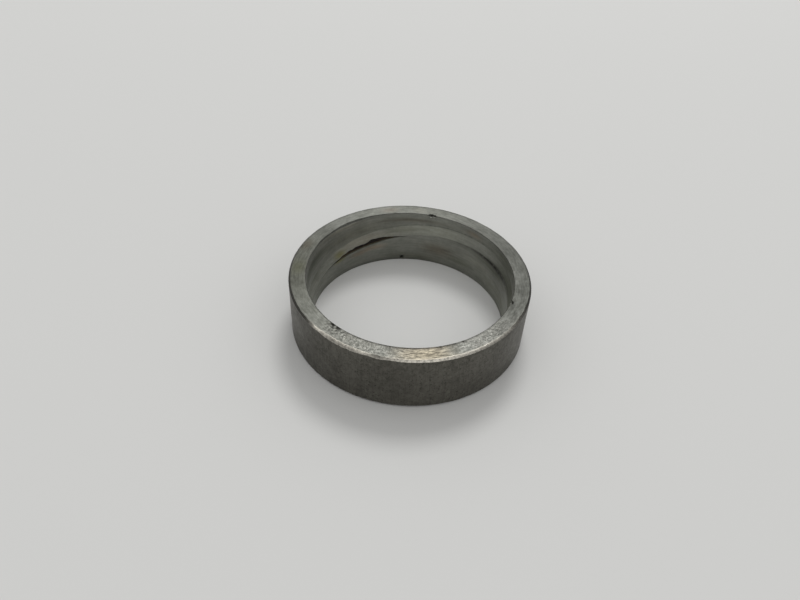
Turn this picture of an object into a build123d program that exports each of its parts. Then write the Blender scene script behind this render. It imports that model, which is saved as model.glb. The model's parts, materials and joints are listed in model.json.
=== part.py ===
"""Spacer sleeve: one plain turned steel ring, bored from both ends.

Frame: millimetres, +Z up. The origin is the centre of the lower end face, on the floor,
and +Z is the sleeve's axis. A bearing is an angle about +Z, counted from +X.

The shaft bore runs through. From the upper end a slightly wider counterbore was cut with the
work a few degrees out of square, so the shoulder that it ends on slants round the wall. The
shoulder's upper edge (the brow) and its lower edge (the foot) each lie in a slanted plane of
their own, and on one side a crescent-shaped undercut runs along the foot.
"""

import os
from math import cos, radians, sin

from build123d import *

# Driving dimensions
outer_diameter = 50.0
wall_thickness = 4.3  # at the shaft bore
sleeve_length = 12.8
rim_chamfer = 0.4  # both outer edges
mouth_chamfer = 0.1  # both ends of the bore, only just broken

# Counterbore, and the shoulder that it ends on
counterbore_step = 0.8  # how much wider it is than the shaft bore, on the radius
brow_depth = 5.3  # upper end face to the brow's plane, on the axis
brow_tilt = 7.7
brow_bearing = 42.5  # the side on which the brow is highest
shoulder_height = 1.5  # brow's plane to the foot's plane, on the axis
foot_tilt = 7.1
foot_bearing = 25.4

# Crescent along the foot
undercut_depth = 0.55  # at its deepest, on undercut_bearing
undercut_bearing = 124.0
undercut_reach = 36.0  # how far it runs to each side of that bearing, in degrees
undercut_width = 1.0
undercut_rise = 0.7  # the part of its width that lies above the foot's plane

# Knocks in the edges of the bore: (bearing, radius of the dent)
upper_mouth_knocks = ((79.4, 0.45), (-19.3, 0.4))
lower_mouth_knocks = ((96.5, 0.35),)

# Sizes that follow
outer_radius = outer_diameter / 2
bore_radius = outer_radius - wall_thickness
counterbore_radius = bore_radius + counterbore_step
brow_height = sleeve_length - brow_depth
foot_height = brow_height - shoulder_height
bore_cut_length = 3 * sleeve_length  # centred on the origin, so it runs past both ends
undercut_floor = bore_radius + undercut_depth
undercut_offset = (undercut_floor**2 - bore_radius**2) / (
    2 * (undercut_floor - bore_radius * cos(radians(undercut_reach)))
)
undercut_radius = undercut_floor - undercut_offset
seam_bearing = -90.0  # where every slanted section starts and ends, so that lofts stay untwisted


def slanted_plane(height, tilt, bearing):
    """Plane through the axis at a height, rising towards a bearing, which is its own X."""
    rise, run = sin(radians(tilt)), cos(radians(tilt))
    east, north = cos(radians(bearing)), sin(radians(bearing))
    return Plane(
        origin=(0, 0, height),
        x_dir=(run * east, run * north, rise),
        z_dir=(-rise * east, -rise * north, run),
    )


def slanted_section(radius, plane, tilt, bearing):
    """Ellipse that a slanted plane cuts from a round bore, as two half turns from the seam."""
    start = seam_bearing - bearing
    with BuildSketch(plane) as section:
        with BuildLine():
            for turn in (start, start + 180):
                EllipticalCenterArc((0, 0), radius / cos(radians(tilt)), radius, turn, arc_size=180)
        make_face()
    return section.sketch


brow_plane = slanted_plane(brow_height, brow_tilt, brow_bearing)
foot_plane = slanted_plane(foot_height, foot_tilt, foot_bearing)
undercut_roof_plane = slanted_plane(foot_height + undercut_rise, foot_tilt, foot_bearing)
undercut_sill_plane = slanted_plane(
    foot_height + undercut_rise - undercut_width, foot_tilt, foot_bearing
)

with BuildPart() as counterbore:
    Cylinder(counterbore_radius, bore_cut_length)
    split(bisect_by=brow_plane, keep=Keep.TOP)

# The shoulder leans in from the brow to the foot, straight along every radius
with BuildPart() as shoulder:
    brow = slanted_section(counterbore_radius, brow_plane, brow_tilt, brow_bearing)
    foot = slanted_section(bore_radius, foot_plane, foot_tilt, foot_bearing)
    loft(sections=[brow, foot])

# A smaller circle, set off the axis, crosses the bore's at the undercut's two pointed ends
with BuildPart() as undercut:
    with PolarLocations(undercut_offset, 1, start_angle=undercut_bearing):
        Cylinder(undercut_radius, bore_cut_length)
    split(bisect_by=undercut_roof_plane, keep=Keep.BOTTOM)
    split(bisect_by=undercut_sill_plane, keep=Keep.TOP)

with BuildPart() as spacer_sleeve:
    with BuildSketch():
        Circle(outer_radius)
        Circle(bore_radius, mode=Mode.SUBTRACT)
    extrude(amount=sleeve_length)
    circles = spacer_sleeve.edges().filter_by(GeomType.CIRCLE)
    chamfer(circles.filter_by(lambda rim: rim.radius > counterbore_radius), rim_chamfer)

    for cut in (counterbore, shoulder, undercut):
        add(cut.part, mode=Mode.SUBTRACT)
    ends = spacer_sleeve.faces().filter_by(Axis.Z).edges()
    chamfer(ends.filter_by(lambda mouth: mouth.radius <= counterbore_radius), mouth_chamfer)

    for knocks, mouth_radius, height in (
        (upper_mouth_knocks, counterbore_radius, sleeve_length),
        (lower_mouth_knocks, bore_radius, 0),
    ):
        for bearing, size in knocks:
            with Locations((0, 0, height)):
                with PolarLocations(mouth_radius, 1, start_angle=bearing):
                    Sphere(size, mode=Mode.SUBTRACT)

spacer_sleeve.part.label = "spacer_sleeve"

os.makedirs("parts", exist_ok=True)
export_step(spacer_sleeve.part, "parts/spacer_sleeve.step")
print(f"spacer_sleeve: {spacer_sleeve.part.volume:.1f} mm3, {len(spacer_sleeve.faces())} faces")
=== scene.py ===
# %% [markdown]
# # Spacer sleeve
# A short steel ring that keeps two parts on a shaft a set distance apart. It was cut from a
# bar, faced on its ends and bored, and it has since been knocked about and has tarnished. The
# solid model is loaded as a fixed frame, and this script gives the ring its skin: one dense
# mesh, worked out from the same section, with a finish for each way that a surface was cut.

# %% Load the frame
import json
import math

import bpy
import numpy as np
from mathutils import Matrix, Vector


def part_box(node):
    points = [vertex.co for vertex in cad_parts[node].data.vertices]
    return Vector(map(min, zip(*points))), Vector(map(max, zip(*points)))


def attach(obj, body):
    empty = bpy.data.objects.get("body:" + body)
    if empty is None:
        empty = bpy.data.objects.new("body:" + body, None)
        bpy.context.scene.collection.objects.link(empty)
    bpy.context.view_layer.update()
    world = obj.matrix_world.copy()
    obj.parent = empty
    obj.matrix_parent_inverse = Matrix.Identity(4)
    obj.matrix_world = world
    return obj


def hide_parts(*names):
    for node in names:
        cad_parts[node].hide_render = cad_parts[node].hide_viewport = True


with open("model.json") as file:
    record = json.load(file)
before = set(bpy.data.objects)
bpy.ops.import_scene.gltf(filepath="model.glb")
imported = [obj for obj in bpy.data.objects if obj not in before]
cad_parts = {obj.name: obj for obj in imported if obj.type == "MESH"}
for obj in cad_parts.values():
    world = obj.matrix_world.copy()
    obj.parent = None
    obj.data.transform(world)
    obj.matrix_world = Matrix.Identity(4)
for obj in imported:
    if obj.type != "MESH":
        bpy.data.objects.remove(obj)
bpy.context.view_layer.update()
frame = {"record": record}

MM = 0.001
NODE = "spacer_sleeve"
low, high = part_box(NODE)
outer_radius = (high.x - low.x) / 2 / MM
length = (high.z - low.z) / MM
mounts = {mount["name"]: mount for mount in frame["record"]["mounts"]}
bore_radius = mounts["shaft_bore"]["dims"]["r_mm"]
rim_chamfer = (length - mounts["outside"]["dims"]["length_mm"]) / 2
print(f"ring {2 * outer_radius:.1f} mm across, {length:.1f} mm long, bore {2 * bore_radius:.1f} mm")

# %% [markdown]
# ## Where on the ring
# Nearly everything on a turned part is told by two numbers: the bearing round the axis, and
# the place along the section. Wear is local, so each patch of it needs a soft window that is
# 1 at its middle and 0 past its reach. Rectangular masks would show their edges, so the
# window is a raised cosine, and its bearing wraps round the ring.

# %% Soft windows
def near(value, middle, reach):
    """Raised cosine: (1 + cos(pi * distance / reach)) / 2, and 0 from the reach outwards."""
    share = np.clip(np.abs(value - middle) / reach, 0, 1)
    return (1 + np.cos(math.pi * share)) / 2


def towards(bearing, middle, reach):
    """The same window round the ring: the distance is the shorter way between two bearings."""
    apart = (bearing - middle + 180) % 360 - 180
    return near(apart, 0, reach)


# %% [markdown]
# ## Columns
# Every column of the grid is one bearing. The knocks in the edges are under a millimetre
# wide, too small for columns spread evenly, so the columns are drawn closer there: a wanted
# density is summed up round the ring, and the bearings are read back at equal shares of it.

# %% Bearings of the columns
COLUMNS = 792
FRONT_EXTRA, KNOCK_EXTRA = 0.35, 1.6  # columns added there, as a share of the plain density
knock_bearings = (79.0, -19.3, 96.5)
worn_front = -86.0  # bearing of the side whose upper edge and face are rubbed and pitted

fine = np.linspace(-180, 180, 7201)
density = 1 + FRONT_EXTRA * towards(fine, worn_front, 75)
for knock in knock_bearings:
    density += KNOCK_EXTRA * towards(fine, knock, 4)
summed = np.concatenate([[0], np.cumsum((density[1:] + density[:-1]) / 2)])
degrees = np.interp(np.arange(COLUMNS) / COLUMNS, summed / summed[-1], fine)
bearings = np.radians(degrees)
steps = np.diff(degrees) * math.pi / 180 * outer_radius
print(f"columns {steps.min():.2f} to {steps.max():.2f} mm apart on the outside")

# %% [markdown]
# ## Soft noise
# Real edges wander a little and real surfaces are never quite even. The mesh takes that from
# a noise on places in millimetres: random values on the corners of a cubic lattice, blended
# smoothly between them. Because it reads places in space, it meets itself round the ring.

# %% Noise on points
def soft_noise(points, cell, seed):
    """Values from -1 to 1: lattice values blended by 3t^2 - 2t^3 along each axis, cell mm apart."""
    table = np.random.default_rng(seed).uniform(-1, 1, 4096)
    scaled = points / cell
    corner = np.floor(scaled).astype(np.int64)
    blend = scaled - corner
    blend = blend * blend * (3 - 2 * blend)
    total = 0
    for offset in np.ndindex(2, 2, 2):
        x, y, z = np.moveaxis(corner + offset, -1, 0)
        value = table[(x * 73 + y * 911 + z * 2143) % 4096]
        weight = np.where(np.array(offset) == 1, blend, 1 - blend).prod(-1)
        total = total + value * weight
    return total


def round_the_ring(radius, height, cell, seed):
    """The same noise along one circle of the ring, one value for each column."""
    circle = np.stack([radius * np.cos(bearings), radius * np.sin(bearings), height + 0 * bearings], -1)
    return soft_noise(circle, cell, seed)


print(f"noise round the rim: {round_the_ring(outer_radius, length, 1.0, 1).std():.2f} mean swing")

# %% [markdown]
# ## The section
# A turned part is one profile carried round an axis. Here the counterbore was cut a little
# out of square, so two corners of the profile, the brow and the foot of the shoulder, rise
# and fall with the bearing, each in a slanted plane of its own. A plane that tilts by an
# angle reaches radius * tan(angle) above its height on the axis, on its high side.

# %% Corners of the section
counterbore_radius = bore_radius + 0.8
mouth_chamfer = 0.1
brow_height, brow_tilt, brow_bearing = 7.5, 7.7, 42.5
foot_height, foot_tilt, foot_bearing = 6.0, 7.1, 25.4
undercut_depth, undercut_bearing, undercut_reach = 0.55, 124.0, 36.0


def slant(radius, height, tilt, high_side):
    """Height of a slanted plane: height + radius * tan(tilt) * cos(bearing - high side)."""
    lean = math.tan(math.radians(tilt))
    return height + radius * lean * np.cos(np.radians(degrees - high_side))


brow = slant(counterbore_radius, brow_height, brow_tilt, brow_bearing)
brow += 0.06 * round_the_ring(counterbore_radius, 0, 2.5, 11)
foot = slant(bore_radius, foot_height, foot_tilt, foot_bearing)
foot += 0.05 * round_the_ring(bore_radius, 0, 2.0, 12)
print(f"brow {brow.min():.1f} to {brow.max():.1f} mm high, foot {foot.min():.1f} to {foot.max():.1f} mm")

# %% [markdown]
# ## The crescent
# On one side a crescent is cut into the wall along the foot. Its back is a smaller circle, set
# off the axis, so it is deepest in the middle and runs out into the wall at two pointed ends.
# Its lips gape widest near the middle, and they are ragged where rust has eaten at them. All
# round the rest of the foot the tool has left a scored line, under 0.04 mm deep.

# %% The crescent
def crescent_back():
    """Off-centre circle seen from the axis: offset * cos(t) + sqrt(circle^2 - (offset * sin(t))^2)."""
    deepest = bore_radius + undercut_depth
    ends = bore_radius * math.cos(math.radians(undercut_reach))
    offset = (deepest**2 - bore_radius**2) / (2 * (deepest - ends))
    turn = np.radians(degrees - undercut_bearing)
    return offset * np.cos(turn) + np.sqrt((deepest - offset) ** 2 - (offset * np.sin(turn)) ** 2)


scored = 0.006 + 0.03 * towards(degrees, 28, 62)  # depth of the line that the tool left at the foot
lean = (counterbore_radius - bore_radius) / (brow - foot)
back = np.maximum(crescent_back(), bore_radius)
ragged = 0.6 * round_the_ring(bore_radius, 0, 0.8, 13) + 0.5 * round_the_ring(bore_radius, 0, 2.2, 14)
past = (degrees - 118 + 180) % 360 - 180
gape = near(past, 0, np.where(past < 0, 25, 42))
roof = foot + np.minimum(0.62 * gape * (1 + 0.6 * ragged), (back - bore_radius) / lean)
roof_radius = bore_radius + lean * (roof - foot)
back = np.maximum(back, roof_radius + scored)
sill = foot - 0.06 - 0.42 * gape * (1 + 0.45 * np.roll(ragged, 40))
print(f"crescent {(back - bore_radius).max():.2f} mm deep, {(roof - sill).max():.2f} mm wide")

# %% [markdown]
# ## The worn rim
# The outer upper edge was broken by a small chamfer, and on the front it has since been
# rubbed and dinged, so its width changes every millimetre or so. Two noises of different
# size, let in by the window of the worn side, move the two corners of the chamfer. On the
# far side it is the mouth of the bore that is scuffed round, so its chamfer widens there.

# %% Width of the upper rim and the upper mouth
rough_edge = towards(degrees, -118, 42) + 0.5 * towards(degrees, -45, 45)
dings = 0.7 * round_the_ring(outer_radius, length, 1.3, 21)
dings += 0.5 * round_the_ring(outer_radius, length, 0.5, 22)
face_edge = rim_chamfer * (1 + 0.45 * rough_edge * dings + 0.12 * dings)
wall_edge = rim_chamfer * (0.8 + 0.7 * rough_edge * np.roll(dings, 5) + 0.12 * dings)
wall_edge = np.clip(wall_edge, 0.12, None)
scuffed = towards(degrees, 137, 34) * (1 + 0.7 * round_the_ring(counterbore_radius, length, 1.6, 23))
mouth_edge = mouth_chamfer * (1 + 3.0 * scuffed)
print(f"upper rim {face_edge.min():.2f} to {face_edge.max():.2f} mm wide on the face")

# %% [markdown]
# ## Rows
# Each run of the profile, from one corner to the next, becomes a few rows on a straight
# line. Wide flat runs have evenly spaced rows. The walls of the bore have theirs closer at both
# ends, where the knocks and the shoulder are: the share of the way is (1 - cos(pi * t)) / 2.

# %% Runs from corner to corner
none = np.zeros(COLUMNS)
runs = [  # name, rows, whether they crowd to its ends, radius and height of its first corner
    ("outside", 38, False, outer_radius + none, rim_chamfer + none),
    ("upper_rim", 4, False, outer_radius + none, length - wall_edge),
    ("upper_face", 19, False, outer_radius - face_edge, length + none),
    ("upper_mouth", 3, False, counterbore_radius + mouth_edge, length + none),
    ("counterbore", 18, True, counterbore_radius + none, length - mouth_edge),
    ("shoulder", 9, False, counterbore_radius + none, brow),
    ("crescent", 1, False, roof_radius, roof),
    ("crescent", 3, False, back, roof - 0.02),
    ("crescent", 1, False, back, sill + 0.02 + 0.1 * gape),
    ("shaft_bore", 18, True, bore_radius + none, sill),
    ("lower_mouth", 2, False, bore_radius + none, mouth_chamfer + none),
    ("lower_face", 7, False, bore_radius + mouth_chamfer + none, none),
    ("lower_rim", 3, False, outer_radius - rim_chamfer + none, none),
]


def section_grid():
    """Rows of radii and heights: corner + share * (next corner - corner), run after run."""
    radii, heights, zones = [], [], []
    for run, after in zip(runs, runs[1:] + runs[:1]):
        name, rows, crowded, radius, height = run
        share = (np.arange(rows) / rows)[:, None]
        if crowded:
            share = (1 - np.cos(math.pi * share)) / 2
        radii.append(radius + share * (after[3] - radius))
        heights.append(height + share * (after[4] - height))
        zones += [name] * rows
    return np.vstack(radii), np.vstack(heights), zones


radii, heights, zones = section_grid()
ROWS = len(zones)
print(f"{ROWS} rows of {COLUMNS} columns, {2 * ROWS * COLUMNS} triangles")

# %% [markdown]
# ## Out of the surface
# Relief moves each point along its surface's own outward direction. In a section that runs
# up the outside, in over the face and down the bore, outward is always a quarter turn to the
# right of the way along it: a step (dr, dz) gives the direction (dz, -dr).

# %% Outward directions and places
def places():
    """Points (radius * cos, radius * sin, height) of the whole grid, in mm."""
    return np.stack([radii * np.cos(bearings), radii * np.sin(bearings), heights], -1)


def zone_rows(*names):
    """1 on the rows of the named runs and 0 elsewhere, as a column to multiply a grid by."""
    return np.isin(zones, names).astype(float)[:, None]


along_r = np.roll(radii, -1, 0) - np.roll(radii, 1, 0)
along_z = np.roll(heights, -1, 0) - np.roll(heights, 1, 0)
step = np.hypot(along_r, along_z)
out_r, out_z = along_z / step, -along_r / step
print(f"face points up: {out_z[zones.index('upper_face') + 5].mean():.2f}")

# %% [markdown]
# ## Grain, pits and unevenness
# The worn side of the upper face is frosted with small grains, about half a millimetre
# apart. At one place its inner edge has a cluster of small pits round two deep ones, and there
# are two more pits further on. The outside has the faint waviness and the few pits of old bar.
# These are shapes, so they go into the mesh: a noise gives grain, and only the tops of a noise,
# past a limit, give pits with smooth land between. On the outside and the ends everything goes
# inwards from the true surface, so that the ring keeps its size. The walls of the bore waver
# by a hundredth of a millimetre both ways.

# %% Depth of the relief
GRAIN_DEPTH, PIT_DEPTH, WALL_PIT_DEPTH, WAVE_DEPTH = 0.02, 0.16, 0.09, 0.012
points = places()
face = zone_rows("upper_face")
wall = zone_rows("outside")
bore = zone_rows("counterbore", "shoulder", "shaft_bore")
frosted = towards(degrees, -114, 28) + 0.6 * towards(degrees, -86, 34) + towards(degrees, -50, 30)
frosted = np.clip(frosted, 0, 1)

grain = soft_noise(points, 0.42, 31) + 0.6 * soft_noise(points, 0.24, 32)
depth = face * frosted * GRAIN_DEPTH * np.clip(0.9 + grain, 0, None)

deep_pit_places = (  # bearing and reach in degrees, radius in mm
    (-129.9, 2.4, 21.7),
    (-126.0, 2.0, 21.8),
    (-72.6, 1.0, 21.5),
    (-60.6, 0.8, 21.5),
)
deep_pits = 0 * depth
for bearing, reach, radius in deep_pit_places:
    deep_pits += face * towards(degrees, bearing, reach) * near(radii, radius, 0.7)
cluster = face * towards(degrees, -125.5, 10) * near(radii, bore_radius + 1.9, 1.9)
small_pits = np.clip(cluster * (soft_noise(points, 0.34, 33) + 0.02) * 1.6, 0, 1)
pits = np.clip(0.9 * deep_pits + 0.6 * small_pits, 0, 1)
depth += PIT_DEPTH * pits

wall_pits = wall * np.clip(soft_noise(points, 0.7, 35) - 0.62, 0, 1)
depth += WAVE_DEPTH * wall * np.clip(soft_noise(points, 3.0, 34), 0, 1) + WALL_PIT_DEPTH * wall_pits
depth += WAVE_DEPTH * bore * soft_noise(points, 1.4, 36)

points -= (depth * out_r)[..., None] * np.stack([np.cos(bearings), np.sin(bearings), 0 * bearings], -1)
points[..., 2] -= depth * out_z
print(f"relief up to {depth.max():.2f} mm deep")

# %% [markdown]
# ## Knocks
# Something hard has dented the edges of the bore at three places. A dent is a ball pressed in,
# at the upper mouth along the line that halves its corner, at the lower one straight outwards.
# The first dent is two balls side by side. A point that a ball has reached moves along its line
# until it lies on the ball: with w from the ball's middle to the point and d along the line, it
# moves by sqrt((w.d)^2 - w.w + radius^2) - w.d.

# %% Press the balls in
knocks = (  # bearing, radius and height of the ball's middle, its size, and which way up it goes in
    (79.5, counterbore_radius, length, 0.60, -1),
    (77.4, counterbore_radius, length, 0.42, -1),
    (-19.3, counterbore_radius, length, 0.60, -1),
    (96.5, bore_radius, 0.55, 0.50, 0),
)
dented = np.zeros((ROWS, COLUMNS))
for bearing, radius, height, size, rise in knocks:
    east, north = math.cos(math.radians(bearing)), math.sin(math.radians(bearing))
    line = np.array([east, north, rise]) / math.hypot(1, rise)
    w = points - np.array([radius * east, radius * north, height])
    along = w @ line
    left = along**2 - (w**2).sum(-1) + size**2
    reached = (w**2).sum(-1) < size**2
    points[reached] += (np.sqrt(left[reached]) - along[reached])[:, None] * line
    dented = np.maximum(dented, near(np.sqrt((w**2).sum(-1)), 0, 1.3 * size))
print(f"{int((dented > 0).sum())} points lie in or round the dents")

# %% [markdown]
# ## Stains and painted sheen
# Films of oil and rust tint bare steel in soft patches, and turned rings also catch the light
# on some bearings and lose it on others. The finishes below have no anisotropy to show that,
# so most of the broad patches on the face and the walls are painted sheen and painted shade,
# and not films. They suit light from above and behind, and they stay put when the light moves:
# for another light, take the broad ones out first. Each patch has a bearing, a level (a height
# on a wall, a radius on a face), its reach each way, and a colour that acts as a filter.
# #bcbcbc, which is half in linear light, changes nothing, so a paler colour lightens the steel.
# All are multiplied into one.

# %% Patches of tint
def linear(hex_colour):
    """Red, green and blue from sRGB hex to linear: c / 12.92 up to 0.04045, else the 2.4 power."""
    parts = [int(hex_colour[i : i + 2], 16) / 255 for i in (1, 3, 5)]
    return [c / 12.92 if c <= 0.04045 else ((c + 0.055) / 1.055) ** 2.4 for c in parts]


FACE = 23.2  # radius in the middle of the face
stains_and_sheen = [  # run, bearing and reach in degrees, level and reach in mm, filter
    # On the face the broad patches are painted sheen, darkest at the two sides and lighter towards the near
    # and far sides. The pale spot at 87 degrees is a painted highlight.
    ("upper_face", 26, 72, FACE, 9, "#868686"),
    ("upper_face", -32, 66, FACE, 9, "#8a8a8a"),
    ("upper_face", 184, 58, FACE, 9, "#868682"),
    ("upper_face", 142, 26, FACE, 9, "#a9a9a9"),
    ("upper_face", 80, 60, FACE, 9, "#b0b0af"),
    ("upper_face", -92, 55, FACE, 9, "#a6a6a6"),
    ("upper_face", -112, 34, FACE, 9, "#a7a7a6"),
    ("upper_face", -80, 19, FACE, 4, "#bdb9b1"),
    ("upper_face", 181, 9, 23.3, 2.4, "#b9b9ad"),
    ("upper_face", 87, 7, 23.0, 1.6, "#cbc9c7"),
    ("upper_face", 104, 8, 23.0, 1.5, "#bdb6b3"),
    ("upper_face", 162, 7, 23.8, 1.8, "#b9b2ad"),
    ("upper_face", 115, 2.4, 22.4, 0.8, "#cccccb"),
    ("upper_face", -119, 1.2, 23.1, 1.5, "#d2d2d0"),
    # On the outside, the pale patch low on the near side is painted light from the floor, and the darker
    # ones high up to either side of it are painted shade.
    ("outside", 220, 26, 10.0, 10, "#aaaaa9"),
    ("outside", 260, 8, 6.4, 4, "#b0b0af"),
    ("outside", 276, 56, 1.0, 6, "#c6c6c5"),
    ("outside", 322, 20, 12.0, 8, "#b2b2b1"),
    # On the walls, these darker bands are painted shade: high on the counterbore, low in the shaft bore on
    # the far side, and just under the foot on the right. The shoulder is lighter on the far side than at
    # the sides, which is painted light where it faces up. The yellowish patches by the crescent are rust
    # stains.
    ("counterbore", 130, 40, 9.4, 3.0, "#a7a5a1"),
    ("counterbore", 165, 24, 10.0, 1.4, "#858680"),
    ("counterbore", 178, 26, 8.8, 2.4, "#92938e"),
    ("counterbore", 14, 30, 11.6, 2.2, "#a6a7a2"),
    ("counterbore", 92, 34, 11.0, 0.9, "#98948f"),
    ("counterbore", 50, 9, 11.5, 1.1, "#c6bcb6"),
    ("counterbore", 140, 28, 12.4, 1.2, "#c8c4be"),
    ("shoulder", 6, 36, 8.6, 4.0, "#8a8b85"),
    ("shoulder", 124, 34, 6.9, 3.0, "#cbc6c2"),
    ("shoulder", 76, 34, 9.0, 3.0, "#cbcbc8"),
    ("shoulder", 141, 7, 5.8, 1.3, "#afac8d"),
    ("shaft_bore", 73, 17, 4.0, 2.6, "#a69f99"),
    ("shaft_bore", 88, 30, 1.2, 1.6, "#abaaa6"),
    ("shaft_bore", 116, 13, 4.5, 1.0, "#cfc0b7"),
    ("shaft_bore", 127, 10, 3.9, 1.0, "#cabdb4"),
    ("shaft_bore", 142, 8, 4.6, 0.9, "#bfb998"),
    ("shaft_bore", 26, 30, 7.2, 1.3, "#8f908a"),
    ("shaft_bore", 44, 15, 5.2, 1.4, "#c9c9c6"),
    ("shaft_bore", 56, 14, 2.9, 1.5, "#aeaea9"),
    ("shaft_bore", 12, 40, 2.4, 3.6, "#c4c4c1"),
    ("shaft_bore", 172, 24, 4.6, 4.0, "#a4a4a0"),
    ("shoulder", 170, 20, 7.0, 3.0, "#a0a09c"),
    ("shoulder", 96, 16, 8.4, 1.4, "#b2b2ae"),
]
places_along = np.where(zone_rows("upper_face", "lower_face") > 0, radii, heights)
neutral = np.array(linear("#bcbcbc"))
tint = np.ones((ROWS, COLUMNS, 3))
for run, bearing, reach, level, rise, colour in stains_and_sheen:
    patch = zone_rows(run) * towards(degrees, bearing, reach) * near(places_along, level, rise)
    tint *= 1 - patch[..., None] * (1 - np.array(linear(colour)) / neutral)
print(f"{len(stains_and_sheen)} stains, from {tint.min():.2f} to {tint.max():.2f}")

# %% [markdown]
# ## Masks for the finishes
# The finishes also need to know where the metal is rubbed bright and where a glint is painted
# on it, where grime has packed in and where shade is painted into edges, creases and dents,
# where it rusts, and where a highlight is painted on the turning. Each mask is a value from 0
# to 1 at every point, kept on the mesh as an attribute, so that it stays with the surface
# however the ring is turned or exported.

# %% Rubbed and glinting, grimy and shaded, and rusty
broken = 0.5 + 0.5 * soft_noise(points, 0.5, 41)
edge = near(radii, outer_radius, 0.75) * (heights > length - 0.7)
corner = near(radii, outer_radius - face_edge, 0.3) * (heights > length - 0.3)
burr = np.clip(3 * towards(degrees, -121, 21), 0, 1)
# Rubbed bright metal on the upper rim, mostly on the near side, where it is partly a painted glint.
rubbed = edge * (1.1 * towards(degrees, -80, 38) + 0.5 * burr + 0.3 * towards(degrees, -42, 26))
rubbed = np.clip(rubbed + 0.6 * corner * (burr + towards(degrees, -62, 45)), 0, 1)

# Darker along the mouth: all round the upper mouth chamfer, and along the inner edge of the face on the
# near side.
mouth_line = face * near(radii, counterbore_radius + mouth_edge, 0.55) * towards(degrees, -88, 62)
mouth_darkening = 0.6 * zone_rows("upper_mouth") + mouth_line * (0.55 + 0.45 * broken)
# Along the outer edge of the face on the far side, a dark line is painted where the rim turns away from
# view: painted shade.
far_rim_shade = 0.5 * face * near(radii, outer_radius - face_edge, 0.5) * towards(degrees, 98, 112)
# Along the foot of the shoulder on the right, a dark line is painted in the crease: painted shade.
foot_reach = 0.5 + 0.5 * towards(degrees, 18, 40)
foot_shade = (bore + zone_rows("crescent")) * near(heights, foot - 0.25, foot_reach)
foot_shade = foot_shade * towards(degrees, 26, 46)
# Low in the shaft bore on the far side it is painted darker: partly dirt, partly painted contact shade
# where the ring meets the floor.
bottom_dirt_and_shade = 0.4 * zone_rows("shaft_bore", "lower_mouth") * near(heights, 0, 1.3)
bottom_dirt_and_shade = bottom_dirt_and_shade * towards(degrees, 105, 80)
# Along the brow, on the right and the far side, the counterbore is painted darker: painted shade in the
# corner above the shoulder.
brow_shade = 0.55 * zone_rows("counterbore") * near(heights, brow, 0.6) * towards(degrees, 62, 70) * broken
lip_dirt = zone_rows("shaft_bore", "shoulder") * near(heights, foot, 0.35)
lip_dirt = lip_dirt * towards(degrees, 122, 26) * broken
grimy = mouth_darkening + far_rim_shade + foot_shade + bottom_dirt_and_shade + brow_shade + 0.7 * lip_dirt
# Pits are dark, and the dents are darkened partly by dirt and partly by painted shade, so that their
# hollows do not catch the lamp.
grimy = np.clip(grimy + 1.3 * pits + 0.85 * dented, 0, 1)

rusty = zone_rows("crescent") * towards(degrees, 120, 42)
# The middle of the near side of the face, where a highlight is painted on the turning rings.
centre = face * towards(degrees, -82, 22)
print(f"rubbed {rubbed.mean():.3f}, grimy {grimy.mean():.3f}, rusty {rusty.mean():.3f} of the grid")

# %% [markdown]
# ## The mesh
# The whole ring is one array of points, and closing it both ways makes a torus of quads with
# no seam and no pole. Each quad takes the finish of its row's run. The corners of the section
# stay crisp where they turn by more than the crease angle, and the rest is shaded smooth.

# %% One closed mesh
finish_names = list(dict.fromkeys(zones))
crease = math.radians(38)


def ring_mesh(name):
    """Quads between neighbouring rows and columns, where the last meets the first both ways."""
    index = np.arange(ROWS * COLUMNS).reshape(ROWS, COLUMNS)
    right, up = np.roll(index, -1, 1), np.roll(index, -1, 0)
    quads = np.stack([index, right, np.roll(up, -1, 1), up], -1).reshape(-1, 4)
    mesh = bpy.data.meshes.new(name)
    mesh.from_pydata((points.reshape(-1, 3) * MM).tolist(), [], quads.tolist())
    mesh.polygons.foreach_set("use_smooth", np.ones(len(quads), bool))
    slots = [finish_names.index(zone) for zone in zones]
    mesh.polygons.foreach_set("material_index", np.repeat(slots, COLUMNS))
    mesh.set_sharp_from_angle(angle=crease)
    mesh.update()
    return mesh


sleeve = bpy.data.objects.new("sleeve", ring_mesh("sleeve"))
bpy.context.scene.collection.objects.link(sleeve)
masks = {"rubbed": rubbed, "grimy": grimy, "rusty": rusty, "frosted": face * frosted, "centre": centre}
for name, values in masks.items():
    layer = sleeve.data.attributes.new(name, "FLOAT", "POINT")
    layer.data.foreach_set("value", values.astype(np.float32).ravel())
colours = sleeve.data.attributes.new("tint", "FLOAT_COLOR", "POINT")
colours.data.foreach_set("color", np.dstack([tint, np.ones((ROWS, COLUMNS))]).astype(np.float32).ravel())
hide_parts(NODE)
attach(sleeve, "root")
print(f"sleeve: {len(sleeve.data.vertices)} points, {2 * len(sleeve.data.polygons)} triangles")

# %% [markdown]
# ## Adding a node
# A finish is a small network. One helper adds any node: its settings go on the node, and each
# input either takes a value or is joined to another node's output.

# %% The one helper for nodes
def add(tree, kind, inputs, out=0, **settings):
    """A new node of a kind: a value is set on its socket and a socket is linked. Gives an output."""
    node = tree.nodes.new("ShaderNode" + kind)
    for setting, value in settings.items():
        setattr(node, setting, value)
    for name, value in inputs.items():
        if isinstance(value, bpy.types.NodeSocket):
            tree.links.new(value, node.inputs[name])
        else:
            node.inputs[name].default_value = value
    return node.outputs[out]


def swatch(hex_colour):
    """The same colour with full opacity, as a socket takes it."""
    return (*linear(hex_colour), 1.0)


def mask(tree, name):
    """One of the masks kept on the mesh."""
    return add(tree, "Attribute", {}, "Fac", attribute_name=name)


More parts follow.
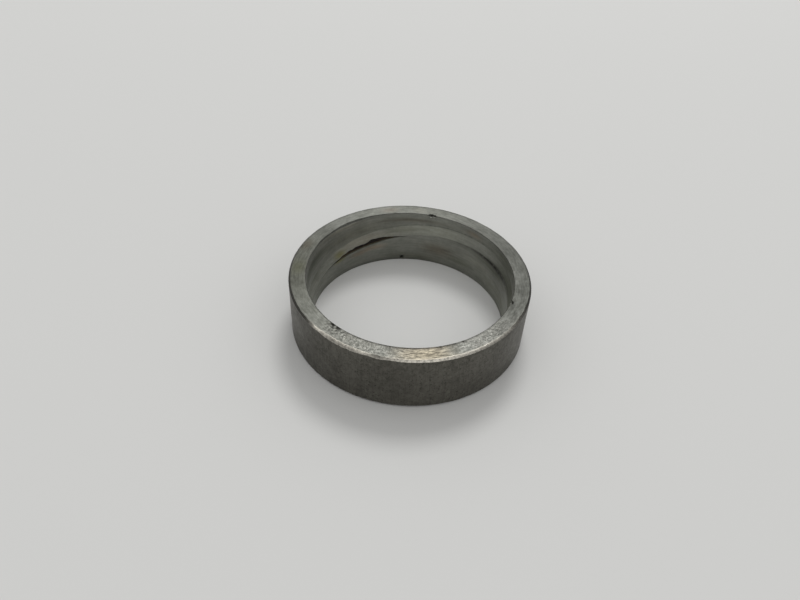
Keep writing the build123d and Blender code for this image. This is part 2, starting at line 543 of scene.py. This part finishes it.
def blend(tree, share, under, over):
    """From one colour to another: under * (1 - share) + over * share."""
    return add(tree, "Mix", {0: share, 6: under, 7: over}, 2, data_type="RGBA")


# %% [markdown]
# ## Cut steel
# Nearly every surface here is mild steel that a tool has cut round the axis. It leaves fine
# ridges that follow the turning, and the eye sees them as streaks: long one way, close the
# other. Noise gives them if its coordinates are drawn out: x and y are divided by a streak's
# length, and radius + height, which changes across the cut on a face and in a bore alike, by
# the space between streaks. A cloud of slow change and a fine speckle go over it. Steel that
# has dulled is darker and rougher than where it is clean, so one value drives both.

# %% Streaks, clouds and specks
def cut_steel(name, dull, clean, streak, speck, roughness, relief_um):
    """Steel cut in the round: streak is (length, spacing) in mm, speck is a size in mm."""
    material = bpy.data.materials.new(name)
    material.use_nodes = True
    tree = material.node_tree
    shader = tree.nodes["Principled BSDF"]
    place = add(tree, "TexCoord", {}, "Object")
    place = add(tree, "VectorMath", {0: place, 1: (1 / MM,) * 3}, operation="MULTIPLY")
    level = add(tree, "VectorMath", {0: place, 1: (1, 1, 0)}, operation="MULTIPLY")
    radius = add(tree, "VectorMath", {0: level}, "Value", operation="LENGTH")
    height = add(tree, "SeparateXYZ", {0: place}, "Z")
    across = add(tree, "Math", {0: radius, 1: height}, operation="ADD")
    across = add(tree, "Math", {0: across, 1: 1 / streak[1]}, operation="MULTIPLY")
    drawn = add(tree, "VectorMath", {0: level, 1: (1 / streak[0],) * 3}, operation="MULTIPLY")
    lift = add(tree, "CombineXYZ", {"Z": across})
    drawn = add(tree, "VectorMath", {0: drawn, 1: lift}, operation="ADD")

    streaks = add(tree, "TexNoise", {"Vector": drawn, "Scale": 1.0, "Detail": 2.0, "Roughness": 0.6})
    clouds = add(tree, "TexNoise", {"Vector": place, "Scale": 0.22, "Detail": 3.0, "Roughness": 0.55})
    specks = add(tree, "TexNoise", {"Vector": place, "Scale": 1 / speck, "Detail": 2.0, "Roughness": 0.6})
    parts = {"specks": specks, "place": place, "drawn": drawn, "tree": tree}

    worn = add(tree, "Math", {0: streaks, 1: 0.45, 2: 0.0}, operation="MULTIPLY_ADD")
    worn = add(tree, "Math", {0: clouds, 1: 0.35, 2: worn}, operation="MULTIPLY_ADD")
    worn = add(tree, "Math", {0: specks, 1: 0.20, 2: worn}, operation="MULTIPLY_ADD")
    worn = add(tree, "MapRange", {"Value": worn, 1: 0.36, 2: 0.64})
    colour = blend(tree, worn, swatch(dull), swatch(clean))
    rough = add(tree, "MapRange", {"Value": worn, 3: roughness + 0.06, 4: roughness - 0.06})
    ridges = add(tree, "Math", {0: streaks, 1: specks}, operation="ADD")
    bump = add(tree, "Bump", {"Strength": 1.0, "Distance": relief_um * 1e-6, "Height": ridges})
    parts.update(colour=colour, roughness=rough, bump=bump, material=material, shader=shader)
    return parts


def settle(parts):
    """Joins a finish to its shader, under the tint of films and painted sheen, and the grime and painted
    shade, that lie on all of it.
    """
    tree, shader = parts["tree"], parts["shader"]
    film_and_sheen = add(tree, "Attribute", {}, "Color", attribute_name="tint")
    under = {0: 1.0, 6: parts["colour"], 7: film_and_sheen}
    filmed_and_sheened = add(tree, "Mix", under, 2, data_type="RGBA", blend_type="MULTIPLY")
    dirt_and_shade = mask(tree, "grimy")
    patchy = add(tree, "MapRange", {"Value": parts["specks"], 1: 0.28, 2: 0.52, 3: 0.45})
    dirt_and_shade = add(tree, "Math", {0: dirt_and_shade, 1: patchy}, operation="MULTIPLY")
    # Grime and painted shade both darken the steel towards #2e2c28.
    colour = blend(tree, dirt_and_shade, filmed_and_sheened, swatch("#2e2c28"))
    rough = add(tree, "Mix", {0: dirt_and_shade, 2: parts["roughness"], 3: 0.75})
    tree.links.new(colour, shader.inputs["Base Color"])
    tree.links.new(rough, shader.inputs["Roughness"])
    tree.links.new(parts["bump"], shader.inputs["Normal"])
    shader.inputs["Metallic"].default_value = 1.0
    return parts["material"]


# %% [markdown]
# ## Faced ends
# Facing leaves rings that run round the end. On the worn side of the upper end they are
# broken up into pale grains between dark pits, and the grains' paleness is partly a painted
# sparkle. In the middle of that side the rings are painted pale and brown by turns: a painted
# highlight where the turned rings catch the lamp. Noise with some distortion gives grains that
# curl, and the streaks that every cut surface has give the rings.

# %% Faced steel
def faced_steel():
    parts = cut_steel("faced mild steel", "#61625c", "#82837d", (1.6, 0.30), 0.5, 0.46, 3.0)
    tree = parts["tree"]
    frost = mask(tree, "frosted")
    swirls = {"Vector": parts["place"], "Scale": 2.9, "Detail": 3.0, "Roughness": 0.75, "Distortion": 1.1}
    grains = add(tree, "TexNoise", swirls)
    # The grains are painted pale: partly their own colour, partly a painted sparkle.
    grains_and_sparkle = add(tree, "MapRange", {"Value": grains, 1: 0.48, 2: 0.68, 4: 0.9})
    grains_and_sparkle = add(tree, "Math", {0: grains_and_sparkle, 1: frost}, operation="MULTIPLY")
    colour = blend(tree, grains_and_sparkle, parts["colour"], swatch("#b2afa9"))
    pitted = add(tree, "MapRange", {"Value": grains, 1: 0.47, 2: 0.34, 4: 0.7})
    pitted = add(tree, "Math", {0: pitted, 1: frost}, operation="MULTIPLY")
    colour = blend(tree, pitted, colour, swatch("#4b4a45"))
    finer = add(tree, "VectorMath", {0: parts["drawn"], 1: (1.3, 1.3, 1.5)}, operation="MULTIPLY")
    fine_rings = add(tree, "TexNoise", {"Vector": finer, "Scale": 1.0, "Detail": 2.0, "Roughness": 0.7})
    rings = add(tree, "MapRange", {"Value": fine_rings, 1: 0.42, 2: 0.60})
    rings = blend(tree, rings, swatch("#5d5951"), swatch("#aaa496"))
    # In the middle of the near side the rings are painted pale and brown by turns: a painted highlight.
    ring_highlight = mask(tree, "centre")
    ring_highlight = add(tree, "MapRange", {"Value": ring_highlight, 1: 0.1, 2: 0.7, 4: 0.85})
    colour = blend(tree, ring_highlight, colour, rings)
    # The rubbed corner of the face is painted pale: worn metal, and partly a painted glint.
    rub_and_glint = mask(tree, "rubbed")
    parts["colour"] = blend(tree, rub_and_glint, colour, swatch("#d3cec2"))
    parts["bump"] = add(
        tree, "Bump", {"Strength": 1.0, "Distance": 8e-6, "Height": grains, "Normal": parts["bump"]}
    )
    return settle(parts)


# %% [markdown]
# ## Bar skin
# The outside is the bar's own skin, dark with tarnish and handling. No tool went round it, so
# its mottling is as long as it is wide, about a millimetre. It carries fine scratches along
# the axis from being pushed through fits, and shows small dark pits. The scratches are noise
# squeezed round the ring and drawn out along it.

# %% Tarnished skin
def bar_skin():
    parts = cut_steel("tarnished bar skin", "#595751", "#706e67", (0.9, 0.9), 0.5, 0.47, 2.0)
    tree = parts["tree"]
    drawn = add(tree, "VectorMath", {0: parts["place"], 1: (3.4, 3.4, 0.30)}, operation="MULTIPLY")
    scratches = add(tree, "TexNoise", {"Vector": drawn, "Scale": 1.0, "Detail": 2.0, "Roughness": 0.6})
    dark = add(tree, "MapRange", {"Value": scratches, 1: 0.48, 2: 0.34, 4: 0.4})
    colour = blend(tree, dark, parts["colour"], swatch("#4a4843"))
    spots = add(tree, "TexNoise", {"Vector": parts["place"], "Scale": 2.8, "Detail": 2.0, "Roughness": 0.6})
    spots = add(tree, "MapRange", {"Value": spots, 1: 0.44, 2: 0.30, 4: 0.8})
    parts["colour"] = blend(tree, spots, colour, swatch("#3c3a35"))
    parts["bump"] = add(
        tree, "Bump", {"Strength": 1.0, "Distance": 5e-6, "Height": scratches, "Normal": parts["bump"]}
    )
    return settle(parts)


# %% [markdown]
# ## Rims
# The narrow chamfers carry the same skin, until something rubs through it to bright metal.
# On the near side that bright metal is partly a painted glint.

# %% Rubbed rim
def rubbed_rim():
    parts = cut_steel("rubbed rim", "#403f3b", "#504f4a", (2.0, 0.5), 0.4, 0.42, 3.0)
    tree = parts["tree"]
    # The rim is painted pale where rubbed: worn metal, and partly a painted glint.
    rub_and_glint = mask(tree, "rubbed")
    broken = add(tree, "MapRange", {"Value": parts["specks"], 1: 0.32, 2: 0.55, 3: 0.45})
    rub_and_glint = add(tree, "Math", {0: rub_and_glint, 1: broken}, operation="MULTIPLY")
    parts["colour"] = blend(tree, rub_and_glint, parts["colour"], swatch("#ddd8cc"))
    return settle(parts)


# %% [markdown]
# ## Bored walls
# The boring tool left longer streaks than facing did, and the wall is cleaner than the skin,
# because the shaft kept it so. The shoulder between the two bores was cut with the tool's
# side, so it is even and matt, and its colour is painted lighter than the walls: painted light
# on a band that faces up.

# %% Bored steel and the shoulder
def bored_steel():
    return settle(cut_steel("bored mild steel", "#7f8079", "#94958d", (5.0, 0.55), 0.8, 0.48, 4.0))


def lit_shoulder_steel():
    # A lighter copy of the bored steel: painted light on a band that faces up.
    return settle(cut_steel("matt shoulder", "#8b8c84", "#9fa098", (4.0, 0.6), 0.6, 0.55, 3.0))


# %% [markdown]
# ## Rust in the crescent
# Damp stays in the crescent under the shoulder, so the steel there is black with old rust,
# and brown at its edges. Rust is an oxide and no metal, so metallic falls to nothing with it.

# %% Rusted crescent
def rusted_crescent():
    parts = cut_steel("rusted crescent", "#6f6f68", "#85857d", (3.0, 0.5), 0.5, 0.5, 5.0)
    tree = parts["tree"]
    rust = mask(tree, "rusty")
    black = add(tree, "MapRange", {"Value": rust, 1: 0.55, 2: 0.95})
    ends = blend(tree, parts["specks"], swatch("#2a2218"), swatch("#5c5138"))
    brown = blend(tree, black, ends, swatch("#1c1411"))
    rust = add(tree, "MapRange", {"Value": rust, 1: 0.1, 2: 0.5})
    parts["colour"] = blend(tree, rust, parts["colour"], brown)
    parts["roughness"] = add(tree, "Mix", {0: rust, 2: parts["roughness"], 3: 0.9})
    bare = add(tree, "MapRange", {"Value": rust, 3: 1.0, 4: 0.0})
    tree.links.new(bare, parts["shader"].inputs["Metallic"])
    return settle(parts)


# %% [markdown]
# ## A finish for each run
# Runs that were cut alike share a finish. The slots follow the order in which the runs first
# come along the section, which is the order that the quads were numbered by.

# %% Put the finishes on
faced, rim, bored = faced_steel(), rubbed_rim(), bored_steel()
finishes = {
    "outside": bar_skin(),
    "upper_rim": rim,
    "upper_face": faced,
    "upper_mouth": faced,
    "counterbore": bored,
    "shoulder": lit_shoulder_steel(),
    "crescent": rusted_crescent(),
    "shaft_bore": bored,
    "lower_mouth": bored,
    "lower_face": faced,
    "lower_rim": rim,
}
for name in finish_names:
    sleeve.data.materials.append(finishes[name])
print(f"{len(set(finishes.values()))} finishes on {len(finish_names)} runs")

# %% [markdown]
# ## The floor
# The ring lies on a plain pale sheet, wide enough to run out of sight.

# %% Sheet
def on_stage(name, data):
    """A new object in the scene."""
    thing = bpy.data.objects.new(name, data)
    bpy.context.scene.collection.objects.link(thing)
    return thing


half = 1.5
corners = [(-half, -half, 0), (half, -half, 0), (half, half, 0), (-half, half, 0)]
sheet = bpy.data.meshes.new("floor")
sheet.from_pydata(corners, [], [(0, 1, 2, 3)])
floor = on_stage("floor", sheet)
paper = bpy.data.materials.new("pale sheet")
paper.use_nodes = True
matt = paper.node_tree.nodes["Principled BSDF"]
matt.inputs["Base Color"].default_value = swatch("#cfcfcd")
matt.inputs["Roughness"].default_value = 0.9
matt.inputs["Specular IOR Level"].default_value = 0.1
floor.data.materials.append(paper)
print(f"floor {2 * half:.0f} m wide")

# %% [markdown]
# ## The sky
# A wide even ceiling of light hangs over the ring, about half as bright near the horizon as
# overhead, because walls give back less light than a ceiling. With s the sine of the elevation,
# the floor's share is the sum of sky(s) * 2s ds. The shares of the sky and the lamp add up to 1
# on the floor, at which a colour renders about as it is written.

# %% Sky
SKY_SHARE = 0.71
HORIZON, FULL_FROM = 0.45, 0.7  # brightness at the horizon, and the sine from which it is full
sines = (np.arange(1000) + 0.5) / 1000
sky = HORIZON + (1 - HORIZON) * np.clip(sines / FULL_FROM, 0, 1)
sky_strength = SKY_SHARE / (sky * 2 * sines).mean()

world = bpy.data.worlds.new("studio")
bpy.context.scene.world = world
world.use_nodes = True
way = add(world.node_tree, "TexCoord", {}, "Generated")
sine = add(world.node_tree, "SeparateXYZ", {0: way}, "Z")
brightness = {"Value": sine, 2: FULL_FROM, 3: HORIZON * sky_strength, 4: sky_strength}
glow = add(world.node_tree, "MapRange", brightness)
background = world.node_tree.nodes["Background"]
background.inputs["Color"].default_value = (1, 1, 1, 1)
world.node_tree.links.new(glow, background.inputs["Strength"])
print(f"sky {sky_strength:.2f} overhead")

# %% [markdown]
# ## The lamp
# One soft lamp stands behind the ring and above it. A disc of power P that shines evenly gives
# P / (pi * distance^2) straight ahead, and a sky of strength 1 gives pi. So the lamp's share on
# the floor is P / (pi^2 * distance^2), times the sine of its elevation.

# %% Lamp
lamp_distance, lamp_bearing, lamp_elevation = 1.6, math.radians(82), math.radians(55.5)
level = math.cos(lamp_elevation)
to_lamp = Vector((math.cos(lamp_bearing) * level, math.sin(lamp_bearing) * level, math.sin(lamp_elevation)))
softbox = bpy.data.lights.new("ceiling lamp", "AREA")
softbox.shape = "DISK"
softbox.size = 0.54
softbox.energy = (1 - SKY_SHARE) * math.pi**2 * lamp_distance**2 / to_lamp.z
lamp = on_stage("ceiling lamp", softbox)
lamp.location = to_lamp * lamp_distance
lamp.rotation_euler = to_lamp.to_track_quat("Z", "Y").to_euler()
print(f"lamp {softbox.energy:.1f} W")

# %% [markdown]
# ## Camera
# It looks down at the ring from 43 degrees, six radii away, a little turned and tipped.
# The stand turns it to the ring's middle, and the aim is what it is off by.

# %% Camera
camera_distance = 5.963 * outer_radius * MM
camera_elevation = math.radians(43.29)
pitch, yaw, roll = (math.radians(a) for a in (-1.45, 0.72, 3.80))
camera_data = bpy.data.cameras.new("camera")
camera_data.sensor_width = 36.0
camera_data.lens = 30.5325
camera_data.clip_start = 0.001
camera = on_stage("camera", camera_data)
back, up = -camera_distance * math.cos(camera_elevation), camera_distance * math.sin(camera_elevation)
stand = Matrix.Translation((0, back, up)) @ Matrix.Rotation(math.pi / 2 - camera_elevation, 4, "X")
aim = Matrix.Rotation(-pitch, 4, "X") @ Matrix.Rotation(yaw, 4, "Y") @ Matrix.Rotation(roll, 4, "Z")
camera.matrix_world = stand @ aim
bpy.context.scene.camera = camera
bpy.context.scene.view_settings.view_transform = "Standard"
print(f"camera {camera_distance / MM:.0f} mm away, lens {camera_data.lens:.1f} mm")
